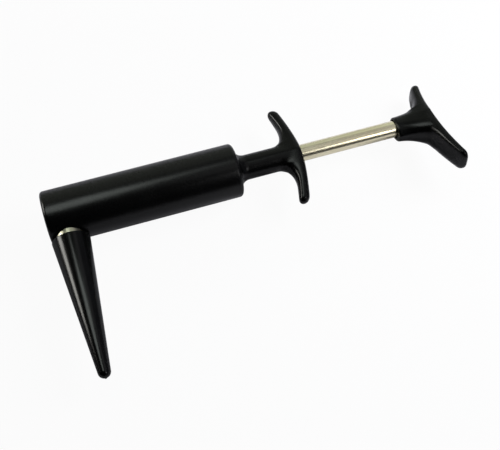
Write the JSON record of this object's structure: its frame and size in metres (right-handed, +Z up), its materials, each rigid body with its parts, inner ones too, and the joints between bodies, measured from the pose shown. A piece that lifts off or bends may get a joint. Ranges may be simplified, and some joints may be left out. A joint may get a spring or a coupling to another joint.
{
  "type": "air pump wine opener",
  "caption": "Hand pump with a tubular casing, finger flange, sliding rod and palm handle that blows air through a covered hollow needle to lift a cork.",
  "frame": {"origin": "centre of the flat closed end of the casing, on the pump's axis", "axes": "+X along the pump's axis towards the palm handle, -Y along the needle, +Z up as the opener lies"},
  "size_m": [0.2887, 0.1567, 0.038],
  "materials": {
    "casing_black": "moulded satin black",
    "block_metal": "turned",
    "valve_brass": "turned",
    "valve_steel": "bright",
    "seal_rubber": "matte",
    "collar_plate": "nickel plated",
    "needle_steel": "ground",
    "cover_black": "moulded gloss",
    "grip_black": "moulded semi-gloss",
    "bush_plastic": "turned",
    "rod_bright": "polished, warm"
  },
  "bodies": {
    "pump_body": {"casing": "casing_black", "valve_block": "casing_black", "valve_seat": "valve_brass", "valve_spring": "valve_steel", "barrel": "valve_brass", "front_seal": "seal_rubber", "rear_seal": "seal_rubber", "stop_ring": "seal_rubber", "needle_collar": "collar_plate", "collar_gasket": "seal_rubber", "cover_ring": "seal_rubber", "needle": "needle_steel", "grip_cap": "grip_black", "rod_bush": "bush_plastic", "rod_wiper": "seal_rubber"},
    "piston": {"piston_head": "block_metal", "piston_cup": "seal_rubber", "cup_washer": "valve_steel"},
    "plunger": {"piston_screw": "valve_steel", "rod_plug": "valve_brass", "piston_rod": "rod_bright", "handle_stud": "valve_steel", "palm_handle": "grip_black"},
    "cover": {"needle_cover": "cover_black"},
    "valve": {"valve_ball": "valve_steel"}
  },
  "joints": [
    {"name": "plunger_stroke", "type": "slide", "parent": "pump_body", "child": "piston", "axis": [-1, 0, 0], "range_m": [0, 0.07]},
    {"name": "handle_turn", "type": "hinge", "parent": "piston", "child": "plunger", "pos_m": [0.2, 0, 0], "axis": [1, 0, 0], "continuous": true},
    {"name": "cover_pull", "type": "slide", "parent": "pump_body", "child": "cover", "axis": [0, -1, 0], "range_m": [0, 0.095]},
    {"name": "valve_lift", "type": "slide", "parent": "pump_body", "child": "valve", "axis": [-1, 0, 0], "range_m": [0, 0.0008], "stiffness_N_per_m": 30, "springref_m": -0.002, "deforming": ["valve_spring"]}
  ]
}
